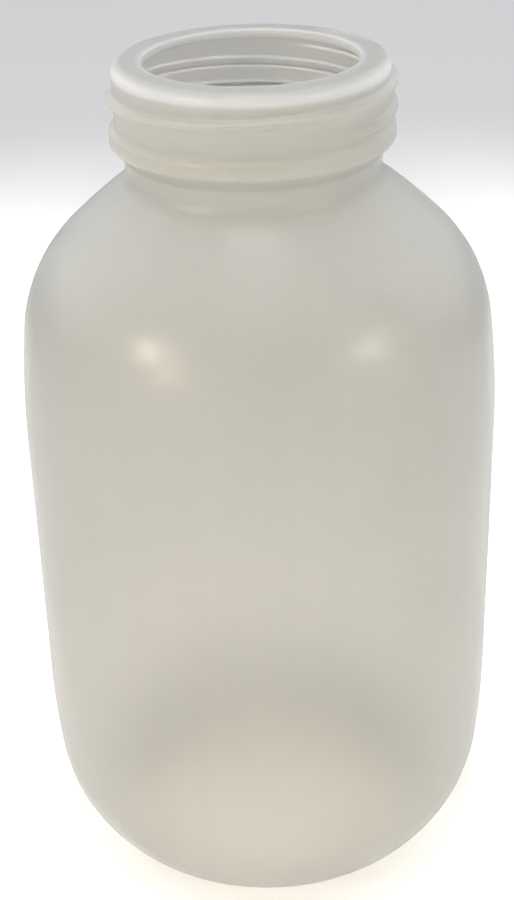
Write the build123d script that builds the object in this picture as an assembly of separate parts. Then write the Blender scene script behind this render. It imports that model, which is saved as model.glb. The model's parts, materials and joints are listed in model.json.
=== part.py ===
from build123d import *
import os
from math import cos, radians, sin

# Wide-mouth reagent bottle, about 2 litres to the brim, blow-moulded in one piece from translucent plastic.
# Millimetres, +Z up along the bottle's axis. The origin is on the axis, in the plane the foot stands on.
# Angles round the axis are in degrees from +X, counter-clockwise seen from above.

# Overall sizes
HEIGHT = 222.0
BODY_RADIUS = 61.5
SKIN = 1.5  # thickness of the blown plastic in the body

# Arcs of the outer outline as (radius, turn in degrees), each tangent to the next
HEEL_ARCS = ((22.0, 49.0), (39.5, 35.0), (218.0, 6.0))  # from the foot up to the straight wall
SHOULDER_ARCS = ((245.0, 7.2), (39.0, 38.3), (148.0, 7.5))  # from the straight wall in to the neck
ROOT_RADIUS = 5.0  # hollow round where the shoulder turns up into the neck

# Foot: a flat ring to stand on, round a shallow push-up
FOOT_LAND = 2.6
FOOT_ROUND = 4.0
PUSH_UP_ANGLE = 20.0  # slope of the push-up where it leaves the foot ring

# Weld left across the middle of the push-up where the mould pinched the tube shut
WELD_LENGTH = 46.0
WELD_WIDTH = 1.6
WELD_HEIGHT = 0.7

# Neck, with heights measured down from the rim
NECK_HEIGHT = 26.0  # from the end of the root round to the rim
NECK_RADIUS = 33.4
BEAD_RADIUS = 34.9
BEAD_TOP = 15.8
BEAD_CREST = 3.5
BEAD_FLANK = 3.6  # height of the sloping underside of the bead
BEAD_SHELF = 0.7  # height of the steep upper side of the bead
BORE_RADIUS = 31.4  # inside of the neck, under the lip
BEAD_BORE_RADIUS = 32.6  # inside of the neck, behind the bead

# Lip trimmed inwards round the mouth
MOUTH_RADIUS = 26.15
LIP_THICKNESS = 2.4
RIM_ROUND = 2.3
LIP_EDGE_ROUND = 0.5
LIP_ROOT_ROUND = 1.4

# Rounds of the bead, outside and inside
BEAD_ROUND = 1.5
BEAD_ROOT_ROUND = 1.0
BORE_ROUND = 2.0

# Right-hand thread for a 70 mm screw closure: one ridge, about one turn and a third
THREAD_LEAD = 6.15
THREAD_DROP = 5.45  # how far the crest lies under the rim at angle 0
THREAD_START = 70.0
THREAD_END = -418.0
THREAD_FADE = 30.0  # the ridge rises out of the wall over this angle at each end
THREAD_HEIGHT = 1.65
THREAD_BASE_WIDTH = 3.1
THREAD_CREST_WIDTH = 1.5
THREAD_ROUND = 0.6
THREAD_BURY = 0.25  # how far the ridge's section reaches into the wall
THREAD_STEP = 12.0  # spacing of the points that the thread's path passes through

# Groove that the ridge leaves on the inside of the neck
GROOVE_DEPTH = 0.9
GROOVE_WIDTH = 2.4
GROOVE_FLOOR_WIDTH = 1.0
GROOVE_ROUND = 0.4


def travel(arcs, heading):
    """Distance that a chain of tangent arcs covers along its first heading and across it."""
    along = 0.0
    across = 0.0
    for radius, turn in arcs:
        ahead = heading + turn
        along += radius * (sin(radians(ahead)) - sin(radians(heading)))
        across += radius * (cos(radians(heading)) - cos(radians(ahead)))
        heading = ahead
    return along, across


def bend(edge, radius, turn):
    """Arc tangent to the end of edge; a positive turn is to the left."""
    return JernArc(edge @ 1, edge % 1, radius, turn)


def run(edge, length):
    """Straight line tangent to the end of edge."""
    start = edge @ 1
    return Line(start, start + (edge % 1) * length)


HEEL_REACH, HEEL_RISE = travel(HEEL_ARCS, 0.0)
SHOULDER_RISE, SHOULDER_REACH = travel(SHOULDER_ARCS, 0.0)
ROOT_TURN = sum(turn for _, turn in SHOULDER_ARCS)
ROOT_RISE = ROOT_RADIUS * sin(radians(ROOT_TURN))
ROOT_REACH = ROOT_RADIUS * (1.0 - cos(radians(ROOT_TURN)))
ROOT_Z = HEIGHT - NECK_HEIGHT
WALL_HEIGHT = ROOT_Z - ROOT_RISE - SHOULDER_RISE - HEEL_RISE
NECK_ROOT_RADIUS = BODY_RADIUS - SHOULDER_REACH - ROOT_REACH

FOOT_INNER_RADIUS = BODY_RADIUS - HEEL_REACH - FOOT_LAND
DOME_RADIUS = FOOT_INNER_RADIUS / sin(radians(PUSH_UP_ANGLE)) - FOOT_ROUND
PUSH_UP = (DOME_RADIUS + FOOT_ROUND) * (1.0 - cos(radians(PUSH_UP_ANGLE)))


def skin(depth):
    """Body outline, depth inside the outer surface, from the middle of the base up to the neck.

    Walking this way the plastic is on the left, so a left-hand arc loses depth and a right-hand one gains it.
    """
    edges = [JernArc((0.0, PUSH_UP + depth), (1.0, 0.0), DOME_RADIUS + depth, -PUSH_UP_ANGLE)]
    edges.append(bend(edges[-1], FOOT_ROUND - depth, PUSH_UP_ANGLE))
    edges.append(run(edges[-1], FOOT_LAND))
    for radius, turn in HEEL_ARCS:
        edges.append(bend(edges[-1], radius - depth, turn))
    edges.append(run(edges[-1], WALL_HEIGHT))
    for radius, turn in SHOULDER_ARCS:
        edges.append(bend(edges[-1], radius - depth, turn))
    edges.append(bend(edges[-1], ROOT_RADIUS + depth, -ROOT_TURN))
    return edges


def neck():
    """Neck outline, up the outside over the bead to the rim, round the lip and down the inside."""
    bead_top = HEIGHT - BEAD_TOP
    bead_bottom = bead_top - BEAD_CREST
    corners = [
        (NECK_ROOT_RADIUS, bead_bottom - BEAD_FLANK, BEAD_ROOT_ROUND),
        (BEAD_RADIUS, bead_bottom, BEAD_ROUND),
        (BEAD_RADIUS, bead_top, BEAD_ROUND),
        (NECK_RADIUS, bead_top + BEAD_SHELF, BEAD_ROOT_ROUND),
        (NECK_RADIUS, HEIGHT, RIM_ROUND),
        (MOUTH_RADIUS, HEIGHT, LIP_EDGE_ROUND),
        (MOUTH_RADIUS, HEIGHT - LIP_THICKNESS, LIP_EDGE_ROUND),
        (BORE_RADIUS, HEIGHT - LIP_THICKNESS, LIP_ROOT_ROUND),
        (BORE_RADIUS, bead_top + BEAD_SHELF, BORE_ROUND),
        (BEAD_BORE_RADIUS, bead_top - BEAD_SHELF, BORE_ROUND),
        (BEAD_BORE_RADIUS, bead_bottom, BORE_ROUND),
        (NECK_ROOT_RADIUS - SKIN, bead_bottom - BEAD_FLANK, BORE_ROUND),
    ]
    points = [(NECK_ROOT_RADIUS, ROOT_Z)]
    points += [(r, z) for r, z, _ in corners]
    points.append((NECK_ROOT_RADIUS - SKIN, ROOT_Z))
    return FilletPolyline(points, radius=[rounding for _, _, rounding in corners])


def blown_skin():
    """The whole bottle turned about its axis, before the thread."""
    outer = skin(0.0)
    inner = skin(SKIN)
    middle = Line(outer[0] @ 0, inner[0] @ 0)
    outline = make_face(Curve() + outer + inner + neck() + middle)
    return revolve(Rot(X=90) * outline, Axis.Z)


def rise(angle):
    """How far the ridge stands out at this angle, from 0 at either end of the thread to 1."""
    share = min(THREAD_START - angle, angle - THREAD_END) / THREAD_FADE
    share = max(0.0, min(1.0, share))
    return share * share * (3.0 - 2.0 * share)


def thread_path(surface_radius, depth):
    """Line that the middle of the ridge's base follows; it dips below the surface by depth at each end."""
    count = round((THREAD_START - THREAD_END) / THREAD_STEP)
    points = []
    for index in range(count + 1):
        angle = THREAD_END + (THREAD_START - THREAD_END) * index / count
        radius = surface_radius - depth * (1.0 - rise(angle))
        height = HEIGHT - THREAD_DROP + THREAD_LEAD * angle / 360.0
        points.append((radius * cos(radians(angle)), radius * sin(radians(angle)), height))
    return Spline(points)


def ridge(path, height, base_width, crest_width, rounding, bury):
    """Rounded ridge swept along path, standing height out from it and reaching bury below it."""
    base = base_width / 2.0
    crest = crest_width / 2.0
    corners = [(-bury, -base), (0.0, -base), (height, -crest), (height, crest), (0.0, base), (-bury, base)]
    outline = FilletPolyline(corners, radius=[0.0, rounding, rounding, 0.0])
    start = path @ 0
    outwards = Vector(start.X, start.Y, 0.0)
    section = Plane(origin=start, x_dir=outwards, z_dir=path % 0)
    closing = Line(outline @ 1, outline @ 0)
    return sweep(section * make_face(Curve() + outline + closing), path=path, normal=(0.0, 0.0, 1.0))


def thread():
    """The ridge outside the neck."""
    path = thread_path(NECK_RADIUS, THREAD_HEIGHT)
    return ridge(path, THREAD_HEIGHT, THREAD_BASE_WIDTH, THREAD_CREST_WIDTH, THREAD_ROUND, THREAD_BURY)


def groove():
    """The hollow that the ridge leaves inside the neck."""
    path = thread_path(BORE_RADIUS, GROOVE_DEPTH)
    return ridge(path, GROOVE_DEPTH, GROOVE_WIDTH, GROOVE_FLOOR_WIDTH, GROOVE_ROUND, 2.0 * GROOVE_DEPTH)


def weld():
    """Low straight ridge under the push-up, along X."""
    bar = extrude(SlotOverall(WELD_LENGTH, WELD_WIDTH), PUSH_UP + SKIN / 2.0)
    centre = Pos(0.0, 0.0, PUSH_UP - DOME_RADIUS)
    layer = Sphere(DOME_RADIUS + SKIN / 2.0) - Sphere(DOME_RADIUS - WELD_HEIGHT)
    return bar & (centre * layer)


def bottle():
    """The finished moulding."""
    return blown_skin() + thread() - groove() + weld()


os.makedirs("parts", exist_ok=True)
moulding = bottle()
moulding.label = "bottle"
export_step(moulding, "parts/bottle.step")
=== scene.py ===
import json
import math

import bpy
import numpy as np
from mathutils import Matrix, Vector


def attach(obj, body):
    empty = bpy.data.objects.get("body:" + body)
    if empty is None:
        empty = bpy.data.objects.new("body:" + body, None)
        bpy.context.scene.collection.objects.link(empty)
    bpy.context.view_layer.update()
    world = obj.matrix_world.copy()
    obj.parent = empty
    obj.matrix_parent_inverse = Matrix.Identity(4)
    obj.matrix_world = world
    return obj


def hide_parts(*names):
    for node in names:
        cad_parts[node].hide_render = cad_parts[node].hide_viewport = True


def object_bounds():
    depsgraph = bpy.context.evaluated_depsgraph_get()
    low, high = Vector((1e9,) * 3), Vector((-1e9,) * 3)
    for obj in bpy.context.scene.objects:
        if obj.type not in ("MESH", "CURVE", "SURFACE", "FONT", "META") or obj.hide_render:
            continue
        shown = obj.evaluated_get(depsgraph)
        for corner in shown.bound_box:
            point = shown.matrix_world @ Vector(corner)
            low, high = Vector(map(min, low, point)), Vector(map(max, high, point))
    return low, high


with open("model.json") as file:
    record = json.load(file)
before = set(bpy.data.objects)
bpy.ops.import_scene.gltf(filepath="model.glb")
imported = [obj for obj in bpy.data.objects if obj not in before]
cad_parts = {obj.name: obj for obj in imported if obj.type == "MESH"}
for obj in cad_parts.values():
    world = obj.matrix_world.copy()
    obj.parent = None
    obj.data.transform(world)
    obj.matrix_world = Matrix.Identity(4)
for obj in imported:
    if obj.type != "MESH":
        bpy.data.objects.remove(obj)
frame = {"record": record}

# Everything is in metres and degrees, in the frame of the CAD model: +Z up along the bottle's axis.
# Angles round the axis start at +X and run counter-clockwise seen from above.
cad_low, cad_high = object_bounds()
HEIGHT = cad_high.z
BODY_RADIUS = cad_high.x
MOUTH = next(mount for mount in frame["record"]["mounts"] if mount["name"] == "mouth")
MOUTH_RADIUS = MOUTH["dims"]["r_mm"] / 1000.0

# Outline of the moulding, as in the CAD model: arcs are (radius, turn), each tangent to the next.
SKIN = 0.0015
HEEL_ARCS = ((0.022, 49.0), (0.0395, 35.0), (0.218, 6.0))
SHOULDER_ARCS = ((0.245, 7.2), (0.039, 38.3), (0.148, 7.5))
ROOT_RADIUS = 0.005
FOOT_LAND = 0.0026
FOOT_ROUND = 0.004
PUSH_UP_ANGLE = 20.0
NECK_HEIGHT = 0.026
NECK_RADIUS = 0.0334
BEAD_RADIUS = 0.0349
BEAD_TOP = HEIGHT - 0.0158
BEAD_BOTTOM = BEAD_TOP - 0.0035
BEAD_FOOT = BEAD_BOTTOM - 0.0036
BEAD_SHELF = 0.0007
BORE_RADIUS = 0.0314
BEAD_BORE_RADIUS = 0.0326
LIP_THICKNESS = 0.0024
LIP_EDGE = 0.0006
RIM_ROUND = 0.0023
BEAD_ROUND = 0.0015
BEAD_ROOT_ROUND = 0.001
BORE_ROUND = 0.002
LIP_EDGE_ROUND = 0.0005
LIP_ROOT_ROUND = 0.0014

# Thread ridge outside the neck, and the groove it leaves inside.
THREAD_LEAD = 0.00615
THREAD_DROP = 0.00545
THREAD_START = 70.0
THREAD_END = -418.0
THREAD_FADE = 30.0
RIDGE = {"height": 0.00165, "base": 0.0031, "crest": 0.0010}
GROOVE = {"height": 0.0009, "base": 0.0024, "crest": 0.0006}

# Traces of the mould: the line where its halves met, and the weld where it pinched the tube shut.
PARTING_ANGLE = 4.0
PARTING_HEIGHT = 0.00007
PARTING_OFFSETS = (-0.62, -0.3, -0.12, 0.12, 0.3, 0.62)
PARTING_WIDTH = 0.0003
WELD_LENGTH = 0.046
WELD_WIDTH = 0.0016
WELD_HEIGHT = 0.0007

# Unevenness of the blown skin.
OUTER_WAVE = 0.00010
INNER_WAVE = 0.00022

# Mesh density.
COLUMNS = 216
ARC_STEP = 1.0
CORNER_POINTS = 13
OUTER_SPACINGS = (0.0008, 0.0005, 0.0017, 0.004, 0.0017, 0.0006)
NECK_SPACINGS = (0.0004, 0.00027, 0.0003, 0.0008, 0.0002, 0.0005, 0.00032, 0.0005)
INNER_SPACINGS = (0.002, 0.001, 0.003, 0.006, 0.003, 0.0009)

# Studio: a sheet under the bottle that glows as painted light, with a painted pool of light under the foot, a
# painted contact shadow round the back of the heel and a painted cast shadow behind the bottle; a dimmer
# floor past it, and soft light from the sides and overhead.
FLOOR = 14.0
FLOOR_COLOUR = (0.66, 0.65, 0.64, 1.0)
SHEET_COLOUR = (0.84, 0.83, 0.81, 1.0)
SHEET_RADIUS = 0.36
SHEET_FADES = (0.05, 0.36)
SHEET_GLOW = 0.46
# Painted pool of light under the foot, in the sheet's glow.
POOL_GLOW = 0.34
POOL_REACH = (0.044, 0.024)
# Painted contact shadow round the back of the heel, in the floor's colour and glow.
SHADE_REACH = (0.050, 0.092)
SHADE_START = (0.034, 0.038)
SHADE_SIDE = (0.072, 0.040)
SHADE_BACK = (-0.015, 0.02)
SHADE_COLOUR = (0.34, 0.335, 0.325, 1.0)
SHADE_DEPTH = 0.80
# Painted cast shadow behind the bottle, in the sheet's glow.
CAST_SHADOW_DEPTH = 0.70
CAST_SHADOW_REACH = (0.03, 0.30)
CAST_SHADOW_SIDE = (0.15, 0.03)
CAST_SHADOW_BACK = (-0.02, 0.03)
SHEET_GLOW_COLOUR = (1.0, 0.97, 0.91, 1.0)
ROOM = (
    (0.0, (0.20, 0.20, 0.205)),
    (0.7, (0.25, 0.255, 0.27)),
    (0.92, (0.98, 1.00, 1.05)),
    (1.0, (0.98, 1.00, 1.05)),
)
GLOWS = (
    (140.0, 27.0, 50.0, (1.26, 1.30, 1.39)),
    (38.0, 25.0, 48.0, (1.25, 1.29, 1.36)),
    (-90.0, 25.0, 60.0, (0.09, 0.08, 0.06)),
)
LAMP_DISTANCE = 1.3

# Camera, fitted to the photograph's viewpoint, in body radii from the origin.
CAMERA_BACK = 6.216
CAMERA_UP = 5.217
CAMERA_PITCH = 28.22
CAMERA_YAW = -0.18
CAMERA_ROLL = -1.66
CAMERA_LENS = 64.6


# ---- outline -------------------------------------------------------------------------------------------


def arc(points, heading, radius, turn):
    """Adds an arc to a list of (r, z) points and returns the heading at its end; left turns are positive."""
    count = max(3, math.ceil(abs(turn) / ARC_STEP))
    side = math.copysign(radius, turn)
    r, z = points[-1]
    for index in range(1, count + 1):
        ahead = heading + turn * index / count
        step_r = side * (math.sin(math.radians(ahead)) - math.sin(math.radians(heading)))
        step_z = side * (math.cos(math.radians(heading)) - math.cos(math.radians(ahead)))
        points.append((r + step_r, z + step_z))
    return heading + turn


def arc_travel(arcs):
    """How far a chain of tangent arcs reaches along its first heading and across it."""
    points = [(0.0, 0.0)]
    heading = 0.0
    for radius, turn in arcs:
        heading = arc(points, heading, radius, turn)
    return points[-1]


HEEL_REACH = arc_travel(HEEL_ARCS)[0]
SHOULDER_RISE, SHOULDER_REACH = arc_travel(SHOULDER_ARCS)
ROOT_TURN = sum(turn for _, turn in SHOULDER_ARCS)
ROOT_Z = HEIGHT - NECK_HEIGHT
ROOT_RISE = ROOT_RADIUS * math.sin(math.radians(ROOT_TURN))
ROOT_REACH = ROOT_RADIUS * (1.0 - math.cos(math.radians(ROOT_TURN)))
SHOULDER_BASE = ROOT_Z - ROOT_RISE - SHOULDER_RISE
NECK_ROOT_RADIUS = BODY_RADIUS - SHOULDER_REACH - ROOT_REACH
FOOT_INNER_RADIUS = BODY_RADIUS - HEEL_REACH - FOOT_LAND
DOME_RADIUS = FOOT_INNER_RADIUS / math.sin(math.radians(PUSH_UP_ANGLE)) - FOOT_ROUND
PUSH_UP = (DOME_RADIUS + FOOT_ROUND) * (1.0 - math.cos(math.radians(PUSH_UP_ANGLE)))


def skin_sections(depth):
    """Base, foot, heel, wall, shoulder and root at a depth inside the outer surface, from the axis up."""
    base = [(0.0, PUSH_UP + depth)]
    heading = arc(base, 0.0, DOME_RADIUS + depth, -PUSH_UP_ANGLE)
    foot = [base[-1]]
    heading = arc(foot, heading, FOOT_ROUND - depth, PUSH_UP_ANGLE)
    foot.append((foot[-1][0] + FOOT_LAND, foot[-1][1]))
    heel = [foot[-1]]
    for radius, turn in HEEL_ARCS:
        heading = arc(heel, heading, radius - depth, turn)
    wall = [heel[-1], (BODY_RADIUS - depth, SHOULDER_BASE)]
    shoulder = [wall[-1]]
    for radius, turn in SHOULDER_ARCS:
        heading = arc(shoulder, heading, radius - depth, turn)
    root = [shoulder[-1]]
    arc(root, heading, ROOT_RADIUS + depth, -ROOT_TURN)
    return [base, foot, heel, wall, shoulder, root]


def rounded(start, corners, end):
    """Polyline from start to end with each (r, z, radius) corner replaced by an arc."""
    places = [Vector(start)] + [Vector(corner[:2]) for corner in corners] + [Vector(end)]
    points = [places[0]]
    for before, here, after, corner in zip(places, places[1:], places[2:], corners):
        radius = corner[2]
        backward = (before - here).normalized()
        onward = (after - here).normalized()
        half = backward.angle(onward) / 2.0
        centre = here + (backward + onward).normalized() * radius / math.sin(half)
        first = here + backward * radius / math.tan(half) - centre
        last = here + onward * radius / math.tan(half) - centre
        for share in np.linspace(0.0, 1.0, CORNER_POINTS):
            points.append(centre + first.lerp(last, share).normalized() * radius)
    points.append(places[-1])
    return [tuple(point) for point in points]


def spaced(points, spacing):
    """Points about this far apart along a polyline, both ends included."""
    line = np.array(points)
    along = np.concatenate([[0.0], np.cumsum(np.hypot(*np.diff(line, axis=0).T))])
    count = max(1, math.ceil(along[-1] / spacing))
    places = np.linspace(0.0, along[-1], count + 1)
    return np.column_stack([np.interp(places, along, line[:, 0]), np.interp(places, along, line[:, 1])])


def joined(sections, spacings):
    """One row of points through sections that meet end to end, each with its own spacing."""
    rows = [spaced(section, spacing) for section, spacing in zip(sections, spacings)]
    return np.vstack([rows[0]] + [row[1:] for row in rows[1:]])


def neck_sections():
    """Bead, thread wall, rim, lip and inside of the neck, from the outer root round to the inner root."""
    shelf = BEAD_TOP + BEAD_SHELF
    rim_foot = HEIGHT - RIM_ROUND
    lip_bottom = HEIGHT - LIP_THICKNESS
    inner_root = NECK_ROOT_RADIUS - SKIN
    bead_corners = [
        (NECK_ROOT_RADIUS, BEAD_FOOT, BEAD_ROOT_ROUND),
        (BEAD_RADIUS, BEAD_BOTTOM, BEAD_ROUND),
        (BEAD_RADIUS, BEAD_TOP, BEAD_ROUND),
        (NECK_RADIUS, shelf, BEAD_ROOT_ROUND),
    ]
    wall_foot = shelf + 0.0011
    bead = rounded((NECK_ROOT_RADIUS, ROOT_Z), bead_corners, (NECK_RADIUS, wall_foot))
    wall = [(NECK_RADIUS, wall_foot), (NECK_RADIUS, rim_foot)]
    rim_corner = (NECK_RADIUS, HEIGHT, 0.99 * RIM_ROUND)
    rim = rounded((NECK_RADIUS, rim_foot), [rim_corner], (NECK_RADIUS - RIM_ROUND, HEIGHT))
    lip_end = MOUTH_RADIUS + LIP_EDGE
    land = [(NECK_RADIUS - RIM_ROUND, HEIGHT), (lip_end, HEIGHT)]
    edge_corners = [(MOUTH_RADIUS, HEIGHT, LIP_EDGE_ROUND), (MOUTH_RADIUS, lip_bottom, LIP_EDGE_ROUND)]
    edge = rounded((lip_end, HEIGHT), edge_corners, (lip_end, lip_bottom))
    bore_top = lip_bottom - 0.0016
    lip_root = (BORE_RADIUS, lip_bottom, LIP_ROOT_ROUND)
    underside = rounded((lip_end, lip_bottom), [lip_root], (BORE_RADIUS, bore_top))
    bore_foot = shelf + 0.0014
    bore = [(BORE_RADIUS, bore_top), (BORE_RADIUS, bore_foot)]
    hollow_corners = [
        (BORE_RADIUS, shelf, BORE_ROUND),
        (BEAD_BORE_RADIUS, BEAD_TOP - BEAD_SHELF, BORE_ROUND),
        (BEAD_BORE_RADIUS, BEAD_BOTTOM, BORE_ROUND),
        (inner_root, BEAD_FOOT, BORE_ROUND),
    ]
    hollow = rounded((BORE_RADIUS, bore_foot), hollow_corners, (inner_root, ROOT_Z))
    return [bead, wall, rim, land, edge, underside, bore, hollow]


def bottle_outline():
    """Rows of (r, z) from the middle of the underside up the outside, over the rim and down the inside."""
    outer = joined(skin_sections(0.0), OUTER_SPACINGS)
    neck = joined(neck_sections(), NECK_SPACINGS)
    inner = joined(skin_sections(SKIN), INNER_SPACINGS)[::-1]
    return np.vstack([outer, neck[1:], inner[1:]])


# ---- surface detail --------------------------------------------------------------------------------------


def ease(share):
    """Smooth step from 0 to 1."""
    share = np.clip(share, 0.0, 1.0)
    return share * share * (3.0 - 2.0 * share)


def thread_relief(angle, z, form):
    """Height of the helical ridge at each angle and height."""
    relief = np.zeros(np.broadcast(angle, z).shape)
    for turn in (0, -1):
        along = angle + 360.0 * turn
        crest = HEIGHT - THREAD_DROP + THREAD_LEAD * along / 360.0
        fade = ease(np.minimum(THREAD_START - along, along - THREAD_END) / THREAD_FADE)
        flank = (form["base"] - form["crest"]) / 2.0
        slope = ease((form["base"] / 2.0 - np.abs(z - crest)) / flank)
        relief = np.maximum(relief, form["height"] * fade * slope)
    return relief


def waves(angle, z, seed, lobes, heights):
    """Slow unevenness between -1 and 1: a few lobes round the axis, each drifting with height."""
    dice = np.random.default_rng(seed)
    total = np.zeros(np.broadcast(angle, z).shape)
    weight = 0.0
    for lobe in lobes:
        for span in heights:
            phase, drift = dice.uniform(0.0, 2.0 * math.pi, 2)
            share = 1.0 / (1.0 + lobe)
            rise = np.cos(2.0 * math.pi * z / span + drift)
            total += share * np.sin(lobe * np.radians(angle) + phase) * rise
            weight += share
    return total / weight


def parting_relief(angle):
    """Height of the fine ridge along the mould's parting line, on both sides of the bottle."""
    away = (angle - PARTING_ANGLE + 90.0) % 180.0 - 90.0
    return PARTING_HEIGHT * np.exp(-(np.radians(away) * BODY_RADIUS / PARTING_WIDTH) ** 2)


def weld_relief(radius, angle):
    """Height of the straight weld across the push-up."""
    away = np.radians(angle - PARTING_ANGLE)
    x = radius * np.cos(away)
    y = radius * np.sin(away)
    across = ease((WELD_WIDTH - np.abs(y)) / WELD_WIDTH)
    end = ease((WELD_LENGTH / 2.0 - np.abs(x)) / WELD_WIDTH)
    return WELD_HEIGHT * across * end


def column_angles():
    """Angles of the mesh's columns: even ones, and finer ones beside the parting line."""
    even = PARTING_ANGLE + np.arange(COLUMNS) * 360.0 / COLUMNS
    fine = [PARTING_ANGLE + side + offset for side in (0.0, 180.0) for offset in PARTING_OFFSETS]
    return np.sort(np.concatenate([even, fine]) % 360.0)


def relief(rows, angles):
    """How far each point of the grid stands out of the plain outline, along its normal."""
    r = rows[:, :1]
    z = rows[:, 1:]
    angle = (angles[None, :] + 180.0) % 360.0 - 180.0
    order = np.arange(len(rows))[:, None]
    rim = int(np.argmax(rows[:, 1] > HEIGHT - LIP_THICKNESS * 0.3))
    lip = rim + int(np.argmin(rows[rim:, 0]))
    on_neck = z > BEAD_TOP
    outside = order < lip
    on_bore = (order > lip) & on_neck & (np.abs(r - BORE_RADIUS) < 1e-5)
    on_wall = outside & on_neck & (np.abs(r - NECK_RADIUS) < 1e-5)
    height = np.where(on_wall, thread_relief(angle, z, RIDGE), 0.0)
    height -= np.where(on_bore, thread_relief(angle, z, GROOVE), 0.0)
    body = ease((BEAD_FOOT - z) / 0.02)
    outer = 0.5 * (waves(angle, z, 7, (1, 2, 3, 5), (0.5, 0.17, 0.08)) - 1.0)
    inner = waves(angle, z, 11, (1, 2, 4, 7, 11), (0.4, 0.13, 0.06))
    height += np.where(outside, OUTER_WAVE * outer, INNER_WAVE * inner) * body * ease(r / 0.01)
    on_foot = outside & (z < 0.0004) & (r < BODY_RADIUS - HEEL_REACH + 0.002)
    height = np.where(on_foot, 0.0, height)
    seam = np.where(outside & (r > FOOT_INNER_RADIUS) & ~on_foot & (z < HEIGHT - RIM_ROUND), 1.0, 0.0)
    height += seam * parting_relief(angle)
    under = outside & (r < FOOT_INNER_RADIUS) & (z < 2.0 * PUSH_UP)
    height += np.where(under, weld_relief(r, angle), 0.0)
    return height


def outline_normals(rows):
    """Outward normals of the outline, as (r, z) pairs."""
    along = np.gradient(rows, axis=0)
    normals = np.column_stack([along[:, 1], -along[:, 0]])
    return normals / np.linalg.norm(normals, axis=1)[:, None]


def lathe_mesh(name, rows, heights, angles):
    """Closed mesh of rows turned about the axis, with a point at each end, moved out by heights."""
    normals = outline_normals(rows)
    r = rows[:, :1] + normals[:, :1] * heights
    z = rows[:, 1:] + normals[:, 1:] * heights
    turned = np.radians(angles)[None, :]
    grid = np.stack([r * np.cos(turned), r * np.sin(turned), z], axis=-1)[1:-1]
    ends = [(0.0, 0.0, float(z[0].mean())), (0.0, 0.0, float(z[-1].mean()))]
    count, columns = grid.shape[:2]
    vertices = np.vstack([grid.reshape(-1, 3), ends])
    index = np.arange(count * columns).reshape(count, columns)
    ahead = np.roll(index, -1, axis=1)
    quads = np.stack([index[:-1], ahead[:-1], ahead[1:], index[1:]], axis=-1).reshape(-1, 4)
    first = len(vertices) - 2
    fans = [(first, int(b), int(a)) for a, b in zip(index[0], ahead[0])]
    fans += [(first + 1, int(a), int(b)) for a, b in zip(index[-1], ahead[-1])]
    mesh = bpy.data.meshes.new(name)
    mesh.from_pydata(vertices.tolist(), [], quads.tolist() + fans)
    mesh.shade_smooth()
    mesh.validate()
    mesh.update()
    return mesh


def make_bottle():
    """The moulding as one closed, smooth mesh with its thread, parting line, weld and uneven skin."""
    rows = bottle_outline()
    angles = column_angles()
    mesh = lathe_mesh("bottle_moulding", rows, relief(rows, angles), angles)
    piece = bpy.data.objects.new("bottle_moulding", mesh)
    bpy.context.scene.collection.objects.link(piece)
    return piece


# ---- material ----------------------------------------------------------------------------------------------


class Nodes:
    """The node tree of a material or world, with short calls for adding nodes and joining them."""

    def __init__(self, owner, shader):
        owner.use_nodes = True
        self.tree = owner.node_tree
        self.shader = self.tree.nodes[shader]

    def add(self, kind, inputs=None, **settings):
        node = self.tree.nodes.new(kind)
        for key, value in settings.items():
            setattr(node, key, value)
        for key, value in (inputs or {}).items():
            if isinstance(value, bpy.types.NodeSocket):
                self.tree.links.new(value, node.inputs[key])
            else:
                node.inputs[key].default_value = value
        return node

    def link(self, source, socket):
        self.tree.links.new(source, self.shader.inputs[socket])

    def noise(self, where, scale, detail=2.0, stretch=(1.0, 1.0, 1.0)):
        """Noise from 0 to 1 at this many cells per metre, stretched along the axes."""
        mapping = self.add("ShaderNodeMapping", {"Vector": where, "Scale": stretch})
        sizes = {"Vector": mapping.outputs["Vector"], "Scale": scale, "Detail": detail}
        return self.add("ShaderNodeTexNoise", sizes).outputs["Fac"]

    def span(self, value, low, high, to_low=0.0, to_high=1.0):
        """value, read from low to high, given out smoothly from to_low to to_high."""
        limits = {"Value": value, "From Min": low, "From Max": high, "To Min": to_low, "To Max": to_high}
        node = self.add("ShaderNodeMapRange", limits, interpolation_type="SMOOTHSTEP")
        return node.outputs["Result"]

    def maths(self, operation, first, second=0.0):
        return self.add("ShaderNodeMath", {0: first, 1: second}, operation=operation).outputs["Value"]

    def along(self, value, stops):
        """Number or colour that follows (value, number or colour) stops, straight between them."""
        low, high = stops[0][0], stops[-1][0]
        share = self.maths("DIVIDE", self.maths("SUBTRACT", value, low), high - low)
        ramp = self.add("ShaderNodeValToRGB", {"Fac": share})
        elements = ramp.color_ramp.elements
        while len(elements) < len(stops):
            elements.new(1.0)
        for element, (place, shade) in zip(elements, stops):
            element.position = (place - low) / (high - low)
            element.color = (*shade, 1.0) if isinstance(shade, tuple) else (shade, shade, shade, 1.0)
        return ramp.outputs["Color"]

    def every(self, first, *others):
        """Product of masks: where all of them hold."""
        for other in others:
            first = self.maths("MULTIPLY", first, other)
        return first

    def mix(self, share, first, second):
        """Number from first to second by share."""
        limits = {"Value": share, "To Min": first, "To Max": second}
        return self.add("ShaderNodeMapRange", limits).outputs["Result"]

    def blend(self, share, first, second, mode="MIX"):
        """Colour from first to second by share."""
        node = self.add("ShaderNodeMix", data_type="RGBA", blend_type=mode)
        for socket, value in ((node.inputs[0], share), (node.inputs[6], first), (node.inputs[7], second)):
            if isinstance(value, bpy.types.NodeSocket):
                self.tree.links.new(value, socket)
            else:
                socket.default_value = value
        return node.outputs[2]
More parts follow.
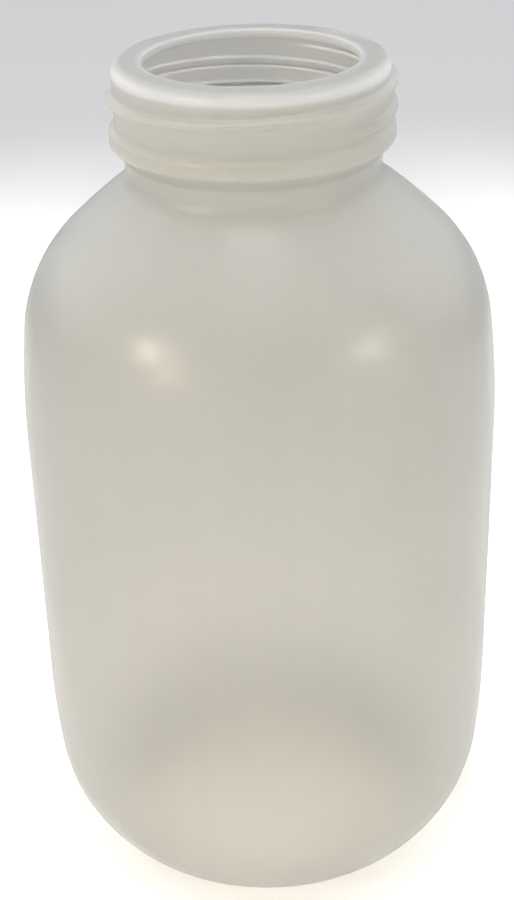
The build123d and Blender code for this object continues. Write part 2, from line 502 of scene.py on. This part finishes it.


# Finish along the height, as (height, value) pairs: more or less plastic to look through, and its colour. The
# grading was tuned to lit tones, so part of it is painted light: the lighter colour at the base stands in
# partly for the brighter light on the bottom.
CLEARNESS = (
    (0.0, 0.68),
    (0.15 * HEIGHT, 0.74),
    (SHOULDER_BASE, 0.74),
    (ROOT_Z, 0.70),
    (BEAD_TOP, 0.54),
    (HEIGHT, 0.50),
)
TINT = (
    (0.0, (0.965, 0.935, 0.865)),
    (0.3 * HEIGHT, (0.85, 0.835, 0.77)),
    (SHOULDER_BASE, (0.825, 0.815, 0.76)),
    (ROOT_Z, (0.89, 0.88, 0.82)),
    (BEAD_TOP, (0.82, 0.81, 0.725)),
    (HEIGHT, (0.80, 0.795, 0.745)),
)

# Zones of the neck with their own tint and clearness: a cool grey bore and a cool white lip edge as painted
# reflection and highlight, a whiter rim corner partly for its thicker plastic and partly as a painted
# highlight, and painted highlight lines along the groove's edges. Each pair of limits is (where it is out,
# where full).
BORE_SIDE = (BEAD_BORE_RADIUS + 0.0004, BEAD_BORE_RADIUS + 0.0002)
BORE_LOW = (BEAD_TOP - 0.001, BEAD_TOP)
BORE_HIGH = (HEIGHT - 0.0022, HEIGHT - 0.0026)
THICKER_HIGHLIGHT_SIDE = (0.0316, 0.0330)
THICKER_HIGHLIGHT_LOW = (HEIGHT - 0.0037, HEIGHT - 0.0025)
THICKER_HIGHLIGHT_HIGH = (HEIGHT, HEIGHT - 0.0016)
LIP_SIDE = (0.0280, 0.0268)
LIP_LOW = (HEIGHT - 0.0030, HEIGHT - 0.0027)
GROOVE_HIGHLIGHT_HIGH = (HEIGHT - 0.0030, HEIGHT - 0.0034)
UNEVEN_RANGE = (0.35, 0.65)
ROUGHNESS = (0.285, 0.33)
GROOVE_HIGHLIGHT_PLACES = (0.0017, -0.0007)
GROOVE_HIGHLIGHT_WIDTH = 0.0006
# White, opaque lines along the groove's edges: painted highlights.
GROOVE_HIGHLIGHT_TINT = (0.97, 0.97, 0.96, 1.0)
GROOVE_HIGHLIGHT_CLEARNESS = 0.0
# Cool grey bore: a painted reflection of cool light.
BORE_TINT = (0.87, 0.878, 0.885, 1.0)
BORE_CLEARNESS = 0.80
# Cool white lip edge: a painted highlight of cool light.
LIP_TINT = (0.89, 0.895, 0.90, 1.0)
LIP_CLEARNESS = 0.35
# Whiter, less clear outer corner of the rim: partly its thicker plastic, partly a painted highlight band.
THICKER_HIGHLIGHT_TINT = (0.95, 0.935, 0.90, 1.0)
THICKER_HIGHLIGHT_CLEARNESS = 0.2


def groove_highlight_lines(nodes, place, height):
    """Mask of two painted highlight lines along the edges of the helical groove inside the neck."""
    turned = nodes.maths("DIVIDE", nodes.maths("ARCTAN2", place["Y"], place["X"]), 2.0 * math.pi)
    start = nodes.maths("SUBTRACT", height, HEIGHT - THREAD_DROP)
    along = nodes.maths("SUBTRACT", start, nodes.maths("MULTIPLY", turned, THREAD_LEAD))
    cycles = nodes.maths("DIVIDE", along, THREAD_LEAD)
    off = nodes.maths("MULTIPLY", nodes.maths("SUBTRACT", cycles, nodes.maths("ROUND", cycles)), THREAD_LEAD)
    edges = []
    for edge in GROOVE_HIGHLIGHT_PLACES:
        away = nodes.maths("ABSOLUTE", nodes.maths("SUBTRACT", off, edge))
        edges.append(nodes.span(away, GROOVE_HIGHLIGHT_WIDTH, GROOVE_HIGHLIGHT_WIDTH / 3.0))
    lines = nodes.maths("MAXIMUM", *edges)
    begin = nodes.span(turned, THREAD_START / 360.0, (THREAD_START - 0.4 * THREAD_FADE) / 360.0)
    whole = nodes.span(cycles, -0.4, -0.6)
    return nodes.every(lines, nodes.maths("MAXIMUM", begin, whole), nodes.span(height, *GROOVE_HIGHLIGHT_HIGH))


def neck_zones(nodes, place, height, radius):
    """(mask, tint, clearness) of the bore with its painted cool reflection, the rim's outer corner with its
    partly painted highlight, the lip's edge with its painted cool highlight and the groove's edges with their
    painted highlight lines.
    """
    # Bore: cool grey as a painted reflection.
    bore = nodes.every(
        nodes.span(radius, *BORE_SIDE), nodes.span(height, *BORE_LOW), nodes.span(height, *BORE_HIGH)
    )
    # Rim's outer corner: partly thicker plastic, partly a painted highlight band.
    thicker_highlight = nodes.every(
        nodes.span(height, *THICKER_HIGHLIGHT_LOW), nodes.span(height, *THICKER_HIGHLIGHT_HIGH), nodes.span(radius, *THICKER_HIGHLIGHT_SIDE)
    )
    # Lip's edge: cool white as a painted highlight.
    lip = nodes.every(nodes.span(radius, *LIP_SIDE), nodes.span(height, *LIP_LOW))
    # Painted highlight lines along the groove's edges, inside the bore.
    edges = nodes.every(bore, groove_highlight_lines(nodes, place, height))
    return (
        (bore, BORE_TINT, BORE_CLEARNESS),
        (thicker_highlight, THICKER_HIGHLIGHT_TINT, THICKER_HIGHLIGHT_CLEARNESS),
        (lip, LIP_TINT, LIP_CLEARNESS),
        (edges, GROOVE_HIGHLIGHT_TINT, GROOVE_HIGHLIGHT_CLEARNESS),
    )


def plastic_material():
    """Milky, see-through polypropylene: faint streaks, uneven thickness, satin grain, a height grading that
    is partly painted light, and the neck's zones of painted highlight and reflection.
    """
    material = bpy.data.materials.new("milky_polypropylene")
    nodes = Nodes(material, "Principled BSDF")
    shader = nodes.shader
    shader.inputs["IOR"].default_value = 1.49
    shader.inputs["Subsurface Weight"].default_value = 1.0
    shader.inputs["Subsurface Radius"].default_value = (1.0, 0.95, 0.85)
    shader.inputs["Subsurface Scale"].default_value = 0.006
    where = nodes.add("ShaderNodeTexCoord").outputs["Object"]
    place = nodes.add("ShaderNodeSeparateXYZ", {"Vector": where}).outputs
    height = place["Z"]
    flat = nodes.add("ShaderNodeVectorMath", {0: where, 1: (1.0, 1.0, 0.0)}, operation="MULTIPLY").outputs[0]
    radius = nodes.add("ShaderNodeVectorMath", {0: flat}, operation="LENGTH").outputs["Value"]
    streaks = nodes.noise(where, 130.0, 3.0, (1.0, 1.0, 0.05))
    clouds = nodes.noise(where, 25.0, 3.0)
    uneven = nodes.maths("ADD", nodes.maths("MULTIPLY", streaks, 0.5), nodes.maths("MULTIPLY", clouds, 0.5))
    patchy = nodes.blend(nodes.span(uneven, *UNEVEN_RANGE), (0.985, 0.985, 0.98, 1.0), (1.0, 1.0, 1.0, 1.0))
    # Colour graded by height, partly painted light, times the random patches.
    colour = nodes.blend(1.0, nodes.along(height, TINT), patchy, "MULTIPLY")
    drift = nodes.span(uneven, *UNEVEN_RANGE, -0.015, 0.015)
    clear = nodes.maths("ADD", nodes.along(height, CLEARNESS), drift)
    for share, tint, clearness in neck_zones(nodes, place, height, radius):
        colour = nodes.blend(share, colour, tint)
        clear = nodes.mix(share, clear, clearness)
    nodes.link(colour, "Base Color")
    nodes.link(clear, "Transmission Weight")
    nodes.link(nodes.span(clouds, 0.3, 0.7, *ROUGHNESS), "Roughness")
    grain = nodes.noise(where, 1400.0, 2.0)
    bump = nodes.add("ShaderNodeBump", {"Height": grain, "Strength": 0.15, "Distance": 0.0001})
    nodes.link(bump.outputs["Normal"], "Normal")
    return material


# ---- stage -------------------------------------------------------------------------------------------------


def make_stage():
    """Pale floor: a sheet that glows as painted light, with a painted pool of light under the foot, a painted
    contact shadow round the back of the heel and a painted cast shadow behind the bottle.
    """
    material = bpy.data.materials.new("pale_paper")
    nodes = Nodes(material, "Principled BSDF")
    place = nodes.add("ShaderNodeNewGeometry").outputs["Position"]
    away = nodes.add("ShaderNodeVectorMath", {0: place}, operation="LENGTH").outputs["Value"]
    axes = nodes.add("ShaderNodeSeparateXYZ", {"Vector": place}).outputs
    beside = nodes.maths("ABSOLUTE", axes["X"])
    edge = nodes.maths("ADD", SHEET_RADIUS, nodes.span(axes["Y"], -0.1, 0.1, *SHEET_FADES))
    sheet = nodes.span(away, edge, SHEET_RADIUS)
    # Painted contact shadow: a dark ring round the back of the heel.
    shade = nodes.every(
        nodes.span(away, SHADE_REACH[1], SHADE_REACH[0], 0.0, SHADE_DEPTH),
        nodes.span(away, *SHADE_START),
        nodes.span(axes["Y"], *SHADE_BACK),
        nodes.span(beside, *SHADE_SIDE),
    )
    # Painted cast shadow behind the bottle.
    behind = nodes.every(
        nodes.span(away, *CAST_SHADOW_REACH, 0.0, CAST_SHADOW_DEPTH),
        nodes.span(axes["Y"], *CAST_SHADOW_BACK),
        nodes.span(beside, *CAST_SHADOW_SIDE),
    )
    lit = nodes.maths("SUBTRACT", 1.0, nodes.maths("MAXIMUM", shade, behind))
    lit = nodes.maths("MULTIPLY", SHEET_GLOW, lit)
    # Painted pool of light under the foot.
    lit = nodes.maths("ADD", lit, nodes.span(away, *POOL_REACH, 0.0, POOL_GLOW))
    nodes.shader.inputs["Roughness"].default_value = 0.9
    nodes.shader.inputs["Emission Color"].default_value = SHEET_GLOW_COLOUR
    nodes.link(nodes.maths("MULTIPLY", sheet, lit), "Emission Strength")
    paper = nodes.blend(sheet, FLOOR_COLOUR, SHEET_COLOUR)
    # The painted contact shadow darkens the floor's colour as well as its glow.
    nodes.link(nodes.blend(shade, paper, SHADE_COLOUR), "Base Color")
    corners = [(-FLOOR, -FLOOR, 0.0), (FLOOR, -FLOOR, 0.0), (FLOOR, FLOOR, 0.0), (-FLOOR, FLOOR, 0.0)]
    mesh = bpy.data.meshes.new("floor")
    mesh.from_pydata(corners, [], [(0, 1, 2, 3)])
    mesh.materials.append(material)
    floor = bpy.data.objects.new("floor", mesh)
    bpy.context.scene.collection.objects.link(floor)


def direction(azimuth, elevation):
    """Unit vector towards azimuth, counter-clockwise from +X, and elevation above the horizon."""
    turn, rise = math.radians(azimuth), math.radians(elevation)
    return Vector((math.cos(turn) * math.cos(rise), math.sin(turn) * math.cos(rise), math.sin(rise)))


def make_room():
    """Surroundings: dim all round, lighter overhead, with broad soft glows at chosen directions."""
    world = bpy.data.worlds.new("studio")
    nodes = Nodes(world, "Background")
    way = nodes.add("ShaderNodeTexCoord").outputs["Generated"]
    rise = nodes.add("ShaderNodeSeparateXYZ", {"Vector": way}).outputs["Z"]
    total = nodes.along(rise, ROOM)
    for azimuth, elevation, reach, colour in GLOWS:
        towards = nodes.add(
            "ShaderNodeVectorMath", {0: way, 1: direction(azimuth, elevation)}, operation="DOT_PRODUCT"
        ).outputs["Value"]
        share = nodes.span(towards, math.cos(math.radians(reach)), 1.0)
        glow = nodes.blend(share, (0.0, 0.0, 0.0, 1.0), colour + (1.0,))
        total = nodes.add("ShaderNodeVectorMath", {0: total, 1: glow}, operation="ADD").outputs[0]
    nodes.link(total, "Color")
    bpy.context.scene.world = world


def make_lamp(name, azimuth, elevation, size, radiance, colour):
    """Square soft lamp in a direction from the bottle's shoulder, turned to it."""
    target = Vector((0.0, 0.0, SHOULDER_BASE))
    lamp = bpy.data.lights.new(name, "AREA")
    lamp.size = size
    lamp.energy = radiance * math.pi * size * size
    lamp.color = colour
    light = bpy.data.objects.new(name, lamp)
    light.location = target + direction(azimuth, elevation) * LAMP_DISTANCE
    light.rotation_euler = (target - light.location).to_track_quat("-Z", "Y").to_euler()
    bpy.context.scene.collection.objects.link(light)


def make_camera():
    """Camera in front of and above the bottle, looking down on it."""
    camera = bpy.data.objects.new("camera", bpy.data.cameras.new("camera"))
    camera.data.lens = CAMERA_LENS
    camera.data.clip_start = 0.01
    place = Vector((0.0, -CAMERA_BACK * BODY_RADIUS, CAMERA_UP * BODY_RADIUS))
    turn = Matrix.Rotation(math.radians(-CAMERA_YAW), 4, "Z")
    tilt = Matrix.Rotation(math.radians(90.0 - CAMERA_PITCH), 4, "X")
    roll = Matrix.Rotation(math.radians(CAMERA_ROLL), 4, "Z")
    camera.matrix_world = Matrix.Translation(place) @ turn @ tilt @ roll
    bpy.context.scene.collection.objects.link(camera)
    bpy.context.scene.camera = camera


bottle = make_bottle()
bottle.data.materials.append(plastic_material())
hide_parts("bottle")
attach(bottle, "root")
make_stage()
make_room()
make_lamp("panel", -90.0, 88.0, 0.45, 3.8, (0.96, 0.98, 1.0))
make_lamp("lamp_left", -144.5, 22.0, 0.17, 32.0, (1.0, 0.88, 0.74))
make_lamp("lamp_left_low", -132.5, 11.0, 0.12, 38.0, (1.0, 0.82, 0.60))
make_lamp("lamp_right", -35.7, 19.5, 0.15, 35.0, (1.0, 0.89, 0.76))
make_camera()
bpy.context.scene.view_settings.view_transform = "Standard"
